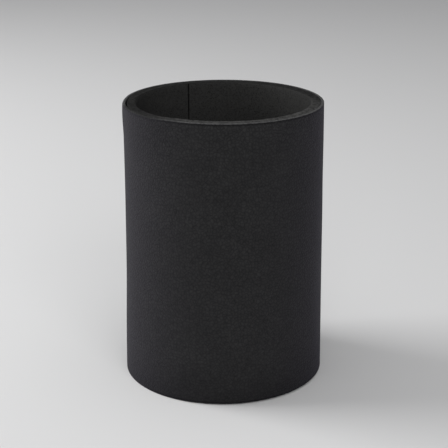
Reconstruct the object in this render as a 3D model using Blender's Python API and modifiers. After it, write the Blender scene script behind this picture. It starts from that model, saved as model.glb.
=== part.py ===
# A magnetic can cooler sleeve: a foam tube with a grained skin, a glued-in base
# and block magnets let into the back of the foam.
# It stands on its base with the mouth up. The magnets are at the back, towards +Y.

import math

import bmesh
import bpy
from mathutils import Matrix, Vector

# What the pocket is made to hold, and how freely.
CAN_DIAMETER = 0.0662
CAN_CLEARANCE = 0.0002

# The sheet that the wall is cut from, and the space that glued faces keep.
FOAM_THICKNESS = 0.0035
SKIN_THICKNESS = 0.0010
GLUE_GAP = 0.0003
SLEEVE_HEIGHT = 0.107

# The base, glued in between the foam walls.
BASE_FOAM_THICKNESS = 0.0035
BASE_SKIN_THICKNESS = 0.0010
VENT_DIAMETER = 0.008

# The magnets, upright blocks in one line up the back.
MAGNET_NAMES = ("magnet_lower", "magnet_middle", "magnet_upper")
MAGNET_WIDTH = 0.010
MAGNET_HEIGHT = 0.020
MAGNET_THICKNESS = 0.002
MAGNET_EDGE = 0.0003

# The joint where the two ends of the sheet meet, measured from the back.
SEAM_ANGLE = math.radians(25)
SEAM_GAP = 0.0003
SEAM_GROOVE_WIDTH = 0.0006
SEAM_GROOVE_DEPTH = 0.0004

# How far the cut edges are rounded.
SKIN_EDGE = 0.0003
FOAM_EDGE = 0.0005
VENT_EDGE = 0.0004

# Facets round the sleeve, and on each rounded edge.
ROUND_STEPS = 96
EDGE_STEPS = 2

# Sizes that follow from those above.
POCKET_RADIUS = CAN_DIAMETER / 2 + CAN_CLEARANCE
FOAM_RADIUS = POCKET_RADIUS + FOAM_THICKNESS
SKIN_INNER_RADIUS = FOAM_RADIUS + GLUE_GAP
SLEEVE_RADIUS = SKIN_INNER_RADIUS + SKIN_THICKNESS
BASE_RADIUS = POCKET_RADIUS - GLUE_GAP
BASE_FOAM_BOTTOM = BASE_SKIN_THICKNESS + GLUE_GAP
POCKET_FLOOR = BASE_FOAM_BOTTOM + BASE_FOAM_THICKNESS
OVERCUT = SLEEVE_RADIUS / 10


def clear_scene():
    for item in list(bpy.data.objects):
        bpy.data.objects.remove(item)


def new_collection(name):
    made = bpy.data.collections.new(name)
    bpy.context.scene.collection.children.link(made)
    return made


def new_material(name, colour, roughness, metallic=0.0):
    made = bpy.data.materials.new(name)
    made.use_nodes = True
    shader = made.node_tree.nodes["Principled BSDF"]
    shader.inputs["Base Color"].default_value = (*colour, 1.0)
    shader.inputs["Roughness"].default_value = roughness
    shader.inputs["Metallic"].default_value = metallic
    made.diffuse_color = (*colour, 1.0)
    return made


def new_object(name, mesh, collection, material=None):
    made = bpy.data.objects.new(name, mesh)
    collection.objects.link(made)
    if material:
        mesh.materials.append(material)
    return made


def section_points(corners):
    # A wall's cut section from its corners, each (radius, height, rounding).
    points = []
    for i, (x, z, rounding) in enumerate(corners):
        here = Vector((x, z))
        before = (Vector(corners[i - 1][:2]) - here).normalized()
        after = (Vector(corners[(i + 1) % len(corners)][:2]) - here).normalized()
        if rounding == 0:
            points.append(here)
            continue
        centre = here + (before + after) * rounding
        for step in range(EDGE_STEPS + 1):
            turn = math.radians(90) * step / EDGE_STEPS
            points.append(
                centre
                - after * rounding * math.cos(turn)
                - before * rounding * math.sin(turn)
            )
    return points


def turned(name, corners, collection, material, steps=ROUND_STEPS):
    # The section runs clockwise, down its outer side, and is turned about Z.
    points = section_points(corners)
    mesh = bpy.data.meshes.new(name)
    loop = [(i, (i + 1) % len(points)) for i in range(len(points))]
    mesh.from_pydata([(p.x, 0, p.y) for p in points], loop, [])
    made = new_object(name, mesh, collection, material)
    screw = made.modifiers.new("Turn", "SCREW")
    screw.axis = "Z"
    screw.angle = math.radians(360)
    screw.steps = steps
    screw.render_steps = steps
    screw.use_merge_vertices = True
    screw.merge_threshold = 0.00001
    screw.use_smooth_shade = False
    return made


def block(name, size, centre, collection, material=None):
    mesh = bpy.data.meshes.new(name)
    cube = bmesh.new()
    bmesh.ops.create_cube(cube, size=1.0)
    bmesh.ops.scale(cube, vec=size, verts=cube.verts)
    cube.to_mesh(mesh)
    cube.free()
    made = new_object(name, mesh, collection, material)
    made.location = centre
    return made


def hide_cutter(cutter):
    cutter.hide_render = True
    cutter.display_type = "WIRE"


def cut(target, cutter):
    hide_cutter(cutter)
    difference = target.modifiers.new("Cut " + cutter.name, "BOOLEAN")
    difference.operation = "DIFFERENCE"
    difference.solver = "EXACT"
    difference.object = cutter


def seam_cutter(name, inner, outer, width, cutters):
    # A thin upright blade across the wall at the joint, longer than the wall is high.
    size = (outer - inner, width, SLEEVE_HEIGHT + 2 * OVERCUT)
    made = block(name, size, (0, 0, 0), cutters)
    direction = math.radians(90) + SEAM_ANGLE
    spot = Vector(((inner + outer) / 2, 0, SLEEVE_HEIGHT / 2))
    made.location = Matrix.Rotation(direction, 3, "Z") @ spot
    made.rotation_euler.z = direction
    return made


def magnet_seat():
    # The flat outer face of a magnet bears on the curved skin at its two upright edges.
    return math.sqrt(SKIN_INNER_RADIUS**2 - (MAGNET_WIDTH / 2) ** 2) - GLUE_GAP


def magnet_heights():
    # The magnets share the wall between the pocket's floor and the rim.
    pitch = (SLEEVE_HEIGHT - POCKET_FLOOR) / len(MAGNET_NAMES)
    return [POCKET_FLOOR + pitch * (i + 0.5) for i in range(len(MAGNET_NAMES))]


def make_outer_skin(sleeve, cutters, material):
    corners = [
        (SKIN_INNER_RADIUS, SLEEVE_HEIGHT, 0),
        (SLEEVE_RADIUS, SLEEVE_HEIGHT, SKIN_EDGE),
        (SLEEVE_RADIUS, 0, SKIN_EDGE),
        (SKIN_INNER_RADIUS, 0, 0),
    ]
    skin = turned("outer_skin", corners, sleeve, material)
    inner = SKIN_INNER_RADIUS - GLUE_GAP
    outer = SLEEVE_RADIUS + OVERCUT
    cut(skin, seam_cutter("skin_joint", inner, outer, SEAM_GAP, cutters))
    return skin


def make_foam_wall(sleeve, cutters, material):
    corners = [
        (POCKET_RADIUS, SLEEVE_HEIGHT, FOAM_EDGE),
        (FOAM_RADIUS, SLEEVE_HEIGHT, SKIN_EDGE),
        (FOAM_RADIUS, 0, 0),
        (POCKET_RADIUS, 0, 0),
    ]
    wall = turned("foam_wall", corners, sleeve, material)
    inner = POCKET_RADIUS - OVERCUT
    outer = POCKET_RADIUS + SEAM_GROOVE_DEPTH
    cut(wall, seam_cutter("foam_joint", inner, outer, SEAM_GROOVE_WIDTH, cutters))
    floor = magnet_seat() - MAGNET_THICKNESS - GLUE_GAP
    depth = FOAM_RADIUS + OVERCUT - floor
    size = (MAGNET_WIDTH + 2 * GLUE_GAP, depth, MAGNET_HEIGHT + 2 * GLUE_GAP)
    for name, height in zip(MAGNET_NAMES, magnet_heights()):
        centre = (0, floor + depth / 2, height)
        cut(wall, block(name + "_recess", size, centre, cutters))
    return wall


def make_base(sleeve, foam, skin):
    # Both discs have the vent that lets air into the pocket as it is emptied.
    vent = VENT_DIAMETER / 2
    foam_corners = [
        (vent, POCKET_FLOOR, VENT_EDGE),
        (BASE_RADIUS, POCKET_FLOOR, 0),
        (BASE_RADIUS, BASE_FOAM_BOTTOM, 0),
        (vent, BASE_FOAM_BOTTOM, 0),
    ]
    turned("base_foam", foam_corners, sleeve, foam)
    skin_corners = [
        (vent, BASE_SKIN_THICKNESS, 0),
        (BASE_RADIUS, BASE_SKIN_THICKNESS, 0),
        (BASE_RADIUS, 0, SKIN_EDGE),
        (vent, 0, SKIN_EDGE),
    ]
    turned("base_skin", skin_corners, sleeve, skin)


def make_magnets(sleeve, material):
    size = (MAGNET_WIDTH, MAGNET_THICKNESS, MAGNET_HEIGHT)
    middle = magnet_seat() - MAGNET_THICKNESS / 2
    for name, height in zip(MAGNET_NAMES, magnet_heights()):
        magnet = block(name, size, (0, middle, height), sleeve, material)
        edges = magnet.modifiers.new("Edges", "BEVEL")
        edges.width = MAGNET_EDGE
        edges.segments = 1


def main():
    clear_scene()
    sleeve = new_collection("can_cooler_sleeve")
    cutters = new_collection("cutters")
    skin = new_material("grained_skin", (0.030, 0.030, 0.034), 0.62)
    foam = new_material("cut_foam", (0.020, 0.020, 0.021), 0.9)
    nickel = new_material("nickel_plate", (0.62, 0.61, 0.58), 0.3, 1.0)
    make_outer_skin(sleeve, cutters, skin)
    make_foam_wall(sleeve, cutters, foam)
    make_base(sleeve, foam, skin)
    make_magnets(sleeve, nickel)


main()
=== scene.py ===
# A magnetic can cooler sleeve: a foam tube in a fine-grained black skin, open at the top.
import math

import bpy
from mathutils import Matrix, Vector, noise


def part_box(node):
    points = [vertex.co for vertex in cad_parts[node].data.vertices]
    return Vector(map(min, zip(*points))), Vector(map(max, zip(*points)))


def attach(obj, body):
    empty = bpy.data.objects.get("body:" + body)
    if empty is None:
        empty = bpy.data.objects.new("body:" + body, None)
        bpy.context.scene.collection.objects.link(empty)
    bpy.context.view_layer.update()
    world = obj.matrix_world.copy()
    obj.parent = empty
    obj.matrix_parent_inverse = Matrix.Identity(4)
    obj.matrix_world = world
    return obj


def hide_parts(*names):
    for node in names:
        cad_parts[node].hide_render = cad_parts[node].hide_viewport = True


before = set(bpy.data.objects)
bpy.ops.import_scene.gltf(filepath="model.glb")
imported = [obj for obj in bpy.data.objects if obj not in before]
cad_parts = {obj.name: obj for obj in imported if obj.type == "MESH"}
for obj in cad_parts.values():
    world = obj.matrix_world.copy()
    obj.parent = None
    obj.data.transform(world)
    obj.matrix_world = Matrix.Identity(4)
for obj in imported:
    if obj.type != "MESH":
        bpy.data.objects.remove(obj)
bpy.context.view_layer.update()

# sizes of the sleeve in metres, all but the glue and the joint read from the frame
mm = 0.001
glueGap = 0.0003                                  # glued faces keep this space
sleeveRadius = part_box("outer_skin")[1].x
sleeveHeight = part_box("outer_skin")[1].z
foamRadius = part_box("foam_wall")[1].x
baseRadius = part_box("base_foam")[1].x
pocketRadius = baseRadius + glueGap
jointTurn = math.radians(25)                      # the joint sits this far beside the middle of the back
magnetNames = ["magnet_lower", "magnet_middle", "magnet_upper"]

# how the pieces are made, for all of them
tiny = 1e-6                                       # metres, nearer than this is the same place
edgeSteps = 3                                     # facets across a rounded edge
facing = 0.7                                      # a normal's share along an axis, to look that way

softForm = {
    "foot": 0.48 * mm,                            # the wall stands this much wider on its foot
    "rim": -0.56 * mm,                            # and draws in a little towards the rim
    "footSkew": 0.7 * mm,                         # the foot is cut this much short on the right
    "skewHeight": 6 * mm,                         # which is taken up over this height
    "waist": 0.45 * mm,                           # how far the left side draws in at half height
    "swell": 0.11 * mm,                           # the hand-glued wall is never quite round
    "swellSize": 24 * mm,
    "swellRise": 5,                               # full from a fifth of the height
    "heldNear": 16 * mm,                          # the magnets' hold on the wall fades over this
    "heldWholly": 0.4,                            # starting this share of it away from them
    "dip": 0.42 * mm,                             # the rim is cut this much low left of the front
    "dipAt": (-34 * mm, -15 * mm, sleeveHeight),
    "dipReach": (12 * mm, 24 * mm),               # full and none
}


# Small tools

def startFresh():
    if bpy.context.object and bpy.context.object.mode != "OBJECT":
        bpy.ops.object.mode_set(mode="OBJECT")
    bpy.ops.object.select_all(action="DESELECT")


def applyModifier(piece, kind, **settings):
    bpy.context.view_layer.objects.active = piece
    step = piece.modifiers.new(kind.title(), kind)
    for name, value in settings.items():
        setattr(step, name, value)
    bpy.ops.object.modifier_apply(modifier=step.name)


def applyPlace(piece):
    startFresh()
    piece.select_set(True)
    bpy.context.view_layer.objects.active = piece
    bpy.ops.object.transform_apply(location=True, rotation=True, scale=True)


def smoothstep(value):
    value = max(0.0, min(1.0, value))
    return value * value * (3 - 2 * value)


def fadeAround(spot, centre, reach):
    # 1 within the first distance of the centre, 0 past the second
    away = (spot - Vector(centre)).length
    return 1 - smoothstep((away - reach[0]) / (reach[1] - reach[0]))


def outwardFrom(spot):
    # level, straight away from the sleeve's axis
    return Vector((spot.x, spot.y, 0)).normalized()


def looksAlong(face, axis, atLeast=facing):
    return abs(face.normal[axis]) > atLeast


def countOf(piece):
    return sum(len(face.vertices) - 2 for face in piece.data.polygons)


# Camera, as high and as far as the photograph's

cameraView = {
    "place": (0.0002, -0.4522, 0.2091),
    "down": math.radians(18.46),
    "lens": 99.1,
    "sensor": 36,
}
startFresh()
bpy.ops.object.camera_add(
    location=cameraView["place"], rotation=(math.radians(90) - cameraView["down"], 0, 0))
camera = bpy.context.object
camera.data.sensor_width = cameraView["sensor"]
camera.data.lens = cameraView["lens"]
bpy.context.scene.camera = camera
print("camera set")


# Materials. Their lengths are in mm, and their noise scales are per mm

def newMaterial(name, colour, roughness=0.9, metallic=0.0):
    material = bpy.data.materials.new(name)
    material.use_nodes = True
    shader = material.node_tree.nodes["Principled BSDF"]
    shader.inputs["Base Color"].default_value = (*colour, 1)
    shader.inputs["Roughness"].default_value = roughness
    shader.inputs["Metallic"].default_value = metallic
    material.diffuse_color = (*colour, 1)
    return material, material.node_tree, shader


def addNode(tree, kind, inputs=None, **settings):
    node = tree.nodes.new("ShaderNode" + kind)
    for name, value in settings.items():
        setattr(node, name, value)
    for socket, value in (inputs or {}).items():
        if isinstance(value, bpy.types.NodeSocket):
            tree.links.new(value, node.inputs[socket])
        else:
            node.inputs[socket].default_value = value
    return node


def plugIn(tree, shader, sources):
    for socket, source in sources.items():
        tree.links.new(source, shader.inputs[socket])


def inMillimetres(tree, source):
    return addNode(tree, "Mapping", {"Vector": source, "Scale": (1000, 1000, 1000)}).outputs["Vector"]


def placeOnPiece(tree):
    return inMillimetres(tree, addNode(tree, "TexCoord").outputs["Object"])


def calculate(tree, operation, *values):
    return addNode(tree, "Math", dict(enumerate(values)), operation=operation).outputs[0]


def mixColours(tree, factor, dark, light):
    mix = addNode(tree, "Mix", {"Factor": factor}, data_type="RGBA")
    mix.inputs["A"].default_value = (*dark, 1)
    mix.inputs["B"].default_value = (*light, 1)
    return mix.outputs["Result"]


def toneColour(tree, colour, value):
    return addNode(tree, "HueSaturation", {"Color": colour, "Value": value}).outputs["Color"]


def addNoise(tree, place, scale, detail, roughness=0.5):
    inputs = {"Vector": place, "Scale": scale, "Detail": detail, "Roughness": roughness}
    return addNode(tree, "TexNoise", inputs)


def spread(tree, value, low, high, newLow, newHigh, smooth=True):
    kind = "SMOOTHSTEP" if smooth else "LINEAR"
    inputs = {"Value": value, "From Min": low, "From Max": high, "To Min": newLow, "To Max": newHigh}
    return addNode(tree, "MapRange", inputs, interpolation_type=kind).outputs["Result"]


def spreadNoise(tree, source, ends):
    # nearly all that a noise texture gives lies between 0.3 and 0.7
    return spread(tree, source.outputs["Fac"], 0.3, 0.7, *ends)


def aroundSpot(tree, place, spot):
    away = addNode(tree, "VectorMath", {0: place, 1: spot["at"]}, operation="DISTANCE")
    return spread(tree, away.outputs["Value"], *spot["reach"], *spot["value"])


def addBump(tree, height, strength, depth):
    inputs = {"Strength": strength, "Distance": depth * mm, "Height": height}
    return addNode(tree, "Bump", inputs).outputs["Normal"]


paintedShadeUnderRim = {                                        # painted shade: the film is darkened here, just below the rim at the front left
    "at": (-28, -25.7, sleeveHeight / mm - 4.4),
    "reach": (3, 20),                             # the first value within this, the second past it
    "value": (0.76, 1.0),
}

paintedShadeOnCutEdge = {                                     # painted shade: the skin's cut edge is darkened here, at the rim's front left
    "at": (-29.5, -24.5, sleeveHeight / mm),
    "reach": (3, 22),
    "value": (0.28, 1.0),
}

paintedShadeNearLeftEnd = {                                      # painted shade: darker again here, nearer to the left end
    "at": (-36.3, -11.5, sleeveHeight / mm),
    "reach": (3, 8),
    "value": (0.42, 1.0),
}

paintedRimLightAndShade = {                                        # painted light on the foam's rim here, and painted shade on the rest of the rim
    "at": (15, -34, sleeveHeight / mm),
    "reach": (20, 52),
    "value": (1.30, 0.38),
}

skinGrain = {
    "top": (0.0233, 0.0234, 0.0230),              # the raised pebbles
    "crease": (0.0150, 0.0150, 0.0150),           # the valleys between them
    "creaseWidth": 0.30,                          # of a pebble
    "pebble": 1.25,                               # across
    "wander": 0.50,                               # how far the valleys stray
    "wanderScale": 1.1,
    "depth": 0.12,
    "bump": 0.8,
    "fineScale": 5.0,                             # the film's own fine grain
    "fineLift": 0.35,                             # of a pebble's height
    "mottleScale": 0.6,                           # clumps of pebbles
    "mottleLift": 1.6,
    "mottled": (0.80, 1.20),
    "patchScale": 0.09,                           # broad patches, worn more and less
    "patched": (0.92, 1.08),
    "patchRoughness": (-0.03, 0.03),
    "roughness": (0.56, 0.74),
    "paintedEdgeShade": 0.48,                               # painted shade: how dark the film is made along its cut edges
    "paintedEdgeShadeWidth": (0.4, 1.2),                       # from the cut edge, full and none
    "paintedFootShade": 0.66,                               # painted shade: how dark the film is made at the foot
    "paintedFootShadeHeight": 16,
    "specular": 0.07,
    "sheen": 0.04,
    "sheenRoughness": 0.6,
    "sheenTint": (0.72, 0.62, 1.0, 1),
}


def makeSkinMaterial():
    grain = skinGrain
    material, tree, shader = newMaterial("grained_skin_looks", grain["top"])
    place = inMillimetres(tree, addNode(tree, "UVMap", uv_map="sheet").outputs["UV"])
    fine = addNoise(tree, place, grain["fineScale"], 3, 0.6)
    mottle = addNoise(tree, place, grain["mottleScale"], 3, 0.7)
    patch = addNoise(tree, place, grain["patchScale"], 3)

    # pebbles between valleys that stray
    stray = addNoise(tree, place, grain["wanderScale"], 2)
    centred = addNode(
        tree, "VectorMath", {0: stray.outputs["Color"], 1: (0.5, 0.5, 0.5)}, operation="SUBTRACT")
    shift = addNode(
        tree, "VectorMath", {0: centred.outputs[0], "Scale": 2 * grain["wander"]}, operation="SCALE")
    bent = addNode(tree, "VectorMath", {0: place, 1: shift.outputs[0]}, operation="ADD")
    cells = addNode(
        tree, "TexVoronoi", {"Vector": bent.outputs[0], "Scale": 1 / grain["pebble"]},
        voronoi_dimensions="2D", feature="DISTANCE_TO_EDGE")
    pebble = spread(tree, cells.outputs["Distance"], 0, grain["creaseWidth"], 0, 1)

    lift = calculate(tree, "MULTIPLY", fine.outputs["Fac"], grain["fineLift"])
    swell = calculate(tree, "MULTIPLY", mottle.outputs["Fac"], grain["mottleLift"])
    height = calculate(tree, "ADD", calculate(tree, "ADD", pebble, lift), swell)

    # painted shade along both cut edges and at the foot
    half = sleeveHeight / mm / 2
    along = addNode(tree, "SeparateXYZ", {"Vector": place}).outputs["Y"]
    offMiddle = calculate(tree, "ABSOLUTE", calculate(tree, "SUBTRACT", along, half))
    fromEdge = calculate(tree, "SUBTRACT", half, offMiddle)
    edgeShadeFactor = spread(tree, fromEdge, *grain["paintedEdgeShadeWidth"], grain["paintedEdgeShade"], 1)
    footShadeFactor = spread(tree, along, 0, grain["paintedFootShadeHeight"], grain["paintedFootShade"], 1, smooth=False)

    clumps = spreadNoise(tree, mottle, grain["mottled"])
    shade = spreadNoise(tree, patch, grain["patched"])
    # the film's random tone, times the painted shade along its edges, at its foot and below the rim
    for factor in (clumps, edgeShadeFactor, footShadeFactor, aroundSpot(tree, placeOnPiece(tree), paintedShadeUnderRim)):
        shade = calculate(tree, "MULTIPLY", shade, factor)
    rough = spreadNoise(tree, fine, grain["roughness"])
    drift = spreadNoise(tree, patch, grain["patchRoughness"])
    plugIn(tree, shader, {
        "Base Color": toneColour(tree, mixColours(tree, pebble, grain["crease"], grain["top"]), shade),
        "Roughness": calculate(tree, "ADD", rough, drift),
        "Normal": addBump(tree, height, grain["bump"], grain["depth"]),
    })
    shader.inputs["Specular IOR Level"].default_value = grain["specular"]
    shader.inputs["Sheen Weight"].default_value = grain["sheen"]
    shader.inputs["Sheen Roughness"].default_value = grain["sheenRoughness"]
    shader.inputs["Sheen Tint"].default_value = grain["sheenTint"]
    return material


cutEdge = {
    "thread": (0.080, 0.080, 0.080),              # the knit backing, greyer than the skin
    "film": (0.036, 0.036, 0.037),
    "threadSize": 0.7,
    "threadShare": (0.35, 0.62),                  # of the noise, all film below and all thread above
    "depth": 0.06,
    "bump": 0.6,
    "roughness": 0.85,
    "specular": 0.2,
}


def makeCutEdgeMaterial():
    edge = cutEdge
    material, tree, shader = newMaterial("skin_cut_edge", edge["thread"], edge["roughness"])
    place = placeOnPiece(tree)
    threads = addNoise(tree, place, 1 / edge["threadSize"], 3)
    share = spread(tree, threads.outputs["Fac"], *edge["threadShare"], 0, 1)
    colour = mixColours(tree, share, edge["film"], edge["thread"])
    # painted shade on the cut edge at the rim's front left and near its left end
    for spot in (paintedShadeOnCutEdge, paintedShadeNearLeftEnd):
        colour = toneColour(tree, colour, aroundSpot(tree, place, spot))
    plugIn(tree, shader, {
        "Base Color": colour,
        "Normal": addBump(tree, share, edge["bump"], edge["depth"]),
    })
    shader.inputs["Specular IOR Level"].default_value = edge["specular"]
    return material


foamCells = {
    "wall": (0.0300, 0.0297, 0.0290),
    "pore": (0.0060, 0.0060, 0.0060),
    "bowl": (0.12, 0.55),                         # of a cell, from a pore's floor to its lip
    "choice": 0.7,                                # noise scale per cell, of which pores stand open
    "blend": 0.16,                                # between open and closed
    "roughness": (0.78, 0.95),
    "bump": 0.9,
    "specular": 0.1,
}

cutFoam = {                                       # the rim, where the knife opened the cells
    "cell": 0.85,                                 # across
    "poreDepth": 0.12,
    "open": 0.46,                                 # the lower, the fewer pores stand open
    "tint": 1.25,
    "clump": (0.62, 1.38),
    "clumpScale": 0.55,
    "paintedRimLightAndShade": True,
}

innerFoam = {
    "cell": 0.45,
    "poreDepth": 0.05,
    "open": 0.42,
    "tint": 1.10,
    "clump": (0.90, 1.10),
    "clumpScale": 1.0,
    "paintedRimLightAndShade": False,
}

pressedLip = {                                    # the rim's inner edge, worn smooth by use
    "cell": 0.45,
    "poreDepth": 0.05,
    "open": 0.35,
    "tint": 1.35,
    "clump": (0.85, 1.15),
    "clumpScale": 0.8,
    "paintedRimLightAndShade": True,
}


def makeFoamMaterial(name, face):
    foam = foamCells
    wall = [part * face["tint"] for part in foam["wall"]]
    material, tree, shader = newMaterial(name, wall)
    place = placeOnPiece(tree)
    cells = addNode(tree, "TexVoronoi", {"Vector": place, "Scale": 1 / face["cell"]}, feature="F1")
    choice = addNoise(tree, place, foam["choice"] / face["cell"], 2)
    patch = addNoise(tree, place, face["clumpScale"], 3)
    bowl = spread(tree, cells.outputs["Distance"], *foam["bowl"], 0, 1)
    closed = spread(tree, choice.outputs["Fac"], face["open"], face["open"] + foam["blend"], 0, 1)
    solid = calculate(tree, "MAXIMUM", bowl, closed)
    shade = spreadNoise(tree, patch, face["clump"])
    # painted light on the rim's front right, painted shade around the rest of it
    if face["paintedRimLightAndShade"]:
        shade = calculate(tree, "MULTIPLY", shade, aroundSpot(tree, place, paintedRimLightAndShade))
    plugIn(tree, shader, {
        "Base Color": toneColour(tree, mixColours(tree, solid, foam["pore"], wall), shade),
        "Roughness": spreadNoise(tree, choice, foam["roughness"]),
        "Normal": addBump(tree, solid, foam["bump"], face["poreDepth"]),
    })
    shader.inputs["Specular IOR Level"].default_value = foam["specular"]
    return material


nickelPlate = {
    "plate": (0.62, 0.61, 0.58),
    "tarnish": (0.52, 0.50, 0.46),
    "tarnishShare": (0.45, 0.7),                  # of the noise, clean below and tarnished above
    "tarnishScale": 0.6,
    "stretch": (3.0, 3.0, 0.12),                  # draws the scratches out along the block
    "scratchScale": 2.0,
    "roughness": (0.22, 0.42),
    "depth": 0.01,
    "bump": 0.2,
}


def makeNickelMaterial():
    nickel = nickelPlate
    material, tree, shader = newMaterial("nickel_plate_looks", nickel["plate"], metallic=1.0)
    place = placeOnPiece(tree)
    drawn = addNode(tree, "Mapping", {"Vector": place, "Scale": nickel["stretch"]})
    scratch = addNoise(tree, drawn.outputs["Vector"], nickel["scratchScale"], 4)
    spots = addNoise(tree, place, nickel["tarnishScale"], 3)
    share = spread(tree, spots.outputs["Fac"], *nickel["tarnishShare"], 0, 1)
    plugIn(tree, shader, {
        "Base Color": mixColours(tree, share, nickel["plate"], nickel["tarnish"]),
        "Roughness": spreadNoise(tree, scratch, nickel["roughness"]),
        "Normal": addBump(tree, scratch.outputs["Fac"], nickel["bump"], nickel["depth"]),
    })
    return material


skinMaterial = makeSkinMaterial()
edgeMaterial = makeCutEdgeMaterial()
rimFoamMaterial = makeFoamMaterial("foam_cut_face", cutFoam)
innerFoamMaterial = makeFoamMaterial("foam_inner_face", innerFoam)
lipFoamMaterial = makeFoamMaterial("foam_pressed_lip", pressedLip)
nickelMaterial = makeNickelMaterial()
print("materials made")


def giveMaterials(piece, *materials):
    for material in materials:
        piece.data.materials.append(material)


# Sheets, cut flat and rolled into the tube

def selectEdges(piece, wanted):
    bpy.ops.object.mode_set(mode="EDIT")
    bpy.ops.mesh.select_mode(type="EDGE")
    bpy.ops.mesh.select_all(action="DESELECT")
    bpy.ops.object.mode_set(mode="OBJECT")
    for edge in piece.data.edges:
        first, second = (piece.data.vertices[i].co for i in edge.vertices)
        edge.select = wanted(first, second)
    bpy.ops.object.mode_set(mode="EDIT")


def runsAlong(axis, first, second):
    return abs(second[axis] - first[axis]) > 0.99 * (second - first).length


def cutPlate(name, length, thickness, sheet):
    # a flat plate as it is cut from the roll, its outer face towards -Y
    startFresh()
    bpy.ops.mesh.primitive_cube_add(size=1, location=(0, 0, sleeveHeight / 2))
    plate = bpy.context.object
    plate.name = name
    plate.scale = (length, thickness, sleeveHeight)
    applyPlace(plate)
    for side, width in ((-thickness / 2, sheet["outerEdge"]), (thickness / 2, sheet["innerEdge"])):
        selectEdges(plate, lambda a, b: abs(a.y - side) < tiny and abs(b.y - side) < tiny)
        bpy.ops.mesh.bevel(offset=width, segments=edgeSteps, affect="EDGES")
        bpy.ops.object.mode_set(mode="OBJECT")
    for axis, count in enumerate(sheet["cuts"]):
        selectEdges(plate, lambda a, b: runsAlong(axis, a, b))
        bpy.ops.mesh.subdivide(number_cuts=count)
        bpy.ops.object.mode_set(mode="OBJECT")
    return plate


def newSheetMap(piece):
    for layer in list(piece.data.uv_layers):
        piece.data.uv_layers.remove(layer)
    return piece.data.uv_layers.new(name="sheet")


def layFlat(plate):
    # the sheet's own flat measures in metres, kept for the grain before it is rolled
    flat = newSheetMap(plate)
    for face in plate.data.polygons:
        for corner in face.loop_indices:
            spot = plate.data.vertices[plate.data.loops[corner].vertex_index].co
            across = spot.x + (spot.y if looksAlong(face, 0) else 0)
            along = spot.z + (spot.y if looksAlong(face, 2) else 0)
            flat.data[corner].uv = (across, along)


def rollUp(plate, length, rollRadius):
    applyModifier(
        plate, "SIMPLE_DEFORM", deform_method="BEND", deform_axis="Z", angle=length / rollRadius)
    plate.location = (0, -rollRadius, 0)
    applyPlace(plate)
    plate.rotation_euler = (0, 0, jointTurn)
    applyPlace(plate)


def softOffset(spot):
    # how far the wall is from true, the same for the skin and the foam under it
    form = softForm
    onWall = outwardFrom(spot) * sleeveRadius
    toMagnets = math.hypot(onWall.x, onWall.y - sleeveRadius)
    free = smoothstep(toMagnets / form["heldNear"] - form["heldWholly"])
    onWall.z = spot.z
    up = max(0.0, min(1.0, spot.z / sleeveHeight))
    leftness = 0.5 - 0.5 * onWall.x / sleeveRadius
    waist = form["waist"] * leftness * math.sin(math.pi * up) ** 2
    swell = form["swell"] * noise.noise(onWall / form["swellSize"]) * smoothstep(form["swellRise"] * up)
    return form["foot"] * (1 - up) + form["rim"] * up + free * (swell - waist)


def softenWall(piece):
    form = softForm
    for vertex in piece.data.vertices:
        vertex.co += outwardFrom(vertex.co) * softOffset(vertex.co)
        short = form["footSkew"] * (0.5 + 0.5 * vertex.co.x / sleeveRadius)
        vertex.co.z += short * (1 - smoothstep(vertex.co.z / form["skewHeight"]))
        vertex.co.z -= form["dip"] * fadeAround(vertex.co, form["dipAt"], form["dipReach"])


def shadeByAngle(piece, degrees=40):
    startFresh()
    piece.select_set(True)
    bpy.context.view_layer.objects.active = piece
    bpy.ops.object.shade_smooth_by_angle(angle=math.radians(degrees))


outerSkin = {
    "joint": 0.3 * mm,                            # the butt joint at the back
    "outerEdge": 0.30 * mm,
    "innerEdge": 0.06 * mm,
    "cuts": (262, 2, 120),
    "filmFrom": 0.8,                              # how squarely a face looks out to be film
    "bulge": 0.38 * mm,                           # where it has come away from the foam
    "bulgeAt": (-38 * mm, -3 * mm, sleeveHeight - 4 * mm),
    "bulgeReach": (0, 10 * mm),
}


def pushOut(piece, depth, centre, reach):
    for vertex in piece.data.vertices:
        vertex.co += outwardFrom(vertex.co) * depth * fadeAround(vertex.co, centre, reach)


def makeOuterSkin():
    skin = outerSkin
    thickness = sleeveRadius - foamRadius - glueGap
    rollRadius = sleeveRadius - thickness / 2
    length = 2 * math.pi * rollRadius - skin["joint"]
    wrap = cutPlate("skin_wrap", length, thickness, skin)
    layFlat(wrap)
    giveMaterials(wrap, skinMaterial, edgeMaterial)
    for face in wrap.data.polygons:
        face.material_index = 0 if face.normal.y < -skin["filmFrom"] else 1
    rollUp(wrap, length, rollRadius)
    softenWall(wrap)
    pushOut(wrap, skin["bulge"], skin["bulgeAt"], skin["bulgeReach"])
    shadeByAngle(wrap)
    return wrap, length


foamCore = {
    "joint": 0.06 * mm,                           # a glued joint, hardly open
    "grown": 0.22 * mm,                           # it swells out into the glue line
    "outerEdge": 0.10 * mm,
    "innerEdge": 0.48 * mm,
    "cuts": (399, 8, 64),
    "wallFrom": 0.9,                              # how squarely a face looks in or out to be uncut
    "lipUp": 0.2,                                 # how far the pressed lip looks up at least
    "lipIn": (0.2, 0.95),                         # and into the pocket
    "knifeMarks": 0.15 * mm,                      # how uneven the cut rim is
    "knifeMarkSize": 1.1 * mm,
    "drawnIn": 0.46 * mm,                         # where it has drawn back from the skin
    "drawnAt": (-36 * mm, -10 * mm, sleeveHeight),
    "drawnReach": (13 * mm, 21 * mm),
    "runOut": foamRadius / 8,                     # the recesses are cut out through the outer face
}


def roughenCut(piece, depth, size):
    for vertex in piece.data.vertices:
        if vertex.normal.z > facing:
            vertex.co.z -= depth * abs(noise.noise(vertex.co / size))


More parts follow.
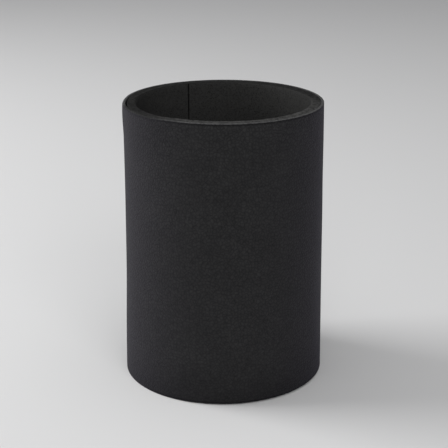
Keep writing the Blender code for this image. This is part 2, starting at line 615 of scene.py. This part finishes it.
def drawBack(piece, depth, centre, reach):
    # the outer face goes in by the depth, the pocket's wall stays
    for vertex in piece.data.vertices:
        out = Vector((vertex.co.x, vertex.co.y, 0)).length
        share = smoothstep((out - pocketRadius) / (foamRadius - pocketRadius))
        vertex.co -= outwardFrom(vertex.co) * depth * share * fadeAround(vertex.co, centre, reach)


def cutRecesses(piece, runOut):
    for name in magnetNames:
        low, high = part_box(name)
        size = high - low + Vector((2, 2, 2)) * glueGap
        size.y += runOut
        startFresh()
        bpy.ops.mesh.primitive_cube_add(
            size=1, location=(0, low.y - glueGap + size.y / 2, (low.z + high.z) / 2), scale=size)
        cutter = bpy.context.object
        applyModifier(piece, "BOOLEAN", operation="DIFFERENCE", solver="EXACT", object=cutter)
        bpy.data.objects.remove(cutter)


def makeFoamCore():
    foam = foamCore
    thickness = foamRadius + foam["grown"] - pocketRadius
    rollRadius = pocketRadius + thickness / 2
    length = 2 * math.pi * rollRadius - foam["joint"]
    core = cutPlate("foam_core", length, thickness, foam)
    giveMaterials(core, rimFoamMaterial, innerFoamMaterial, lipFoamMaterial)
    lipLow, lipHigh = foam["lipIn"]
    for face in core.data.polygons:
        face.material_index = 1 if looksAlong(face, 1, foam["wallFrom"]) else 0
        if face.normal.z > foam["lipUp"] and lipLow < face.normal.y < lipHigh:
            face.material_index = 2
    rollUp(core, length, rollRadius)
    softenWall(core)
    drawBack(core, foam["drawnIn"], foam["drawnAt"], foam["drawnReach"])
    roughenCut(core, foam["knifeMarks"], foam["knifeMarkSize"])
    cutRecesses(core, foam["runOut"])
    shadeByAngle(core)
    return core


# The base discs

baseDiscs = {
    "around": 160,
    "rings": 24,
    "foamEdge": 0.4 * mm,
    "skinEdge": 0.22 * mm,
    "edgeAngle": math.radians(60),                # only edges sharper than this are rounded
    "crown": 0.25 * mm,                           # the foam stands a little proud in its middle
    "lumpSize": 9 * mm,
    "filmFrom": 0.45,                             # how squarely a face looks down or up to be film
}


def ventRadiusOf(node):
    return min(math.hypot(vertex.co.x, vertex.co.y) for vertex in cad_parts[node].data.vertices)


def cutDisc(name, node, edgeWidth):
    # a round with its vent, cut from a sheet as thick as the node
    disc = baseDiscs
    low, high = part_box(node)
    ventRadius = ventRadiusOf(node)
    startFresh()
    bpy.ops.mesh.primitive_circle_add(
        vertices=disc["around"], radius=ventRadius, fill_type="NOTHING", location=(0, 0, low.z))
    piece = bpy.context.object
    piece.name = name
    applyPlace(piece)
    bpy.ops.object.mode_set(mode="EDIT")
    bpy.ops.mesh.select_all(action="SELECT")
    radius = ventRadius
    for ring in range(disc["rings"]):
        wider = ventRadius + (high.x - ventRadius) * (ring + 1) / disc["rings"]
        bpy.ops.mesh.extrude_edges_move()
        bpy.ops.transform.resize(value=(wider / radius, wider / radius, 1), center_override=(0, 0, low.z))
        radius = wider
    bpy.ops.mesh.select_all(action="SELECT")
    bpy.ops.mesh.extrude_region_move(TRANSFORM_OT_translate={"value": (0, 0, high.z - low.z)})
    bpy.ops.mesh.select_all(action="SELECT")
    bpy.ops.mesh.normals_make_consistent(inside=False)
    bpy.ops.object.mode_set(mode="OBJECT")
    applyModifier(
        piece, "BEVEL", width=edgeWidth, segments=edgeSteps, limit_method="ANGLE",
        angle_limit=disc["edgeAngle"])
    return piece


def makeBasePad():
    disc = baseDiscs
    low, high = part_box("base_foam")
    pad = cutDisc("base_pad", "base_foam", disc["foamEdge"])
    for vertex in pad.data.vertices:
        if vertex.co.z > high.z - disc["foamEdge"]:
            out = math.hypot(vertex.co.x, vertex.co.y) / high.x
            lump = 0.5 + 0.5 * noise.noise(vertex.co / disc["lumpSize"])
            vertex.co.z += disc["crown"] * lump * (1 - out * out)
    giveMaterials(pad, innerFoamMaterial, rimFoamMaterial)
    for face in pad.data.polygons:
        face.material_index = 0 if looksAlong(face, 2) else 1
    shadeByAngle(pad)
    return pad


def makeBaseCover():
    disc = baseDiscs
    cover = cutDisc("base_cover", "base_skin", disc["skinEdge"])
    flat = newSheetMap(cover)
    for corner in cover.data.loops:
        spot = cover.data.vertices[corner.vertex_index].co
        flat.data[corner.index].uv = (spot.x, spot.y + sleeveHeight / 2)
    giveMaterials(cover, skinMaterial, edgeMaterial)
    for face in cover.data.polygons:
        face.material_index = 0 if looksAlong(face, 2, disc["filmFrom"]) else 1
    shadeByAngle(cover)
    return cover


skinWrap, skinLength = makeOuterSkin()
print("outer skin rolled:", countOf(skinWrap), "triangles")
foamTube = makeFoamCore()
print("foam wall rolled:", countOf(foamTube), "triangles")
basePad = makeBasePad()
baseCover = makeBaseCover()
print("base discs cut:", countOf(basePad) + countOf(baseCover), "triangles")

for magnetName in magnetNames:
    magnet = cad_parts[magnetName]
    magnet.data.materials.clear()
    giveMaterials(magnet, nickelMaterial)


# What each piece stands for

for piece, node, slotName in [
        (skinWrap, "outer_skin", "grained_skin"),
        (foamTube, "foam_wall", "cut_foam"),
        (basePad, "base_foam", "cut_foam"),
        (baseCover, "base_skin", "grained_skin")]:
    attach(piece, "root")
    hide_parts(node)


# Floor and light

studio = {
    "floor": (0.74, 0.74, 0.74),
    "floorSpecular": 0.1,
    "floorSize": 8.0,
    "ambient": 0.27,
    "ambientColour": (0.9, 0.9, 0.92, 1),
}


def makeFloor():
    startFresh()
    bpy.ops.mesh.primitive_plane_add(size=studio["floorSize"], location=(0, 0, 0))
    floor = bpy.context.object
    floor.name = "floor"
    material, tree, shader = newMaterial("pale_floor", studio["floor"])
    shader.inputs["Specular IOR Level"].default_value = studio["floorSpecular"]
    giveMaterials(floor, material)


def softLight(name, place, size, watts):
    aim = Vector((0, 0, sleeveHeight / 2))
    direction = aim - Vector(place)
    bpy.ops.object.light_add(
        type="AREA", location=place, rotation=direction.to_track_quat("-Z", "Y").to_euler())
    lamp = bpy.context.object
    lamp.name = name
    lamp.data.shape = "RECTANGLE"
    lamp.data.size, lamp.data.size_y = size
    lamp.data.energy = watts


def makeWorld():
    world = bpy.data.worlds.new("studio_world")
    bpy.context.scene.world = world
    world.use_nodes = True
    background = world.node_tree.nodes["Background"]
    background.inputs["Color"].default_value = studio["ambientColour"]
    background.inputs["Strength"].default_value = studio["ambient"]


makeFloor()
makeWorld()
softLight("key_left", (-0.95, 0.20, 0.55), (0.6, 0.9), 10.3)
softLight("front_fill", (0.25, -1.3, 0.75), (1.1, 1.1), 9.2)
softLight("overhead", (0, -0.1, 1.2), (1.0, 1.0), 3)
bpy.context.scene.view_settings.view_transform = "Standard"
print("studio lit")
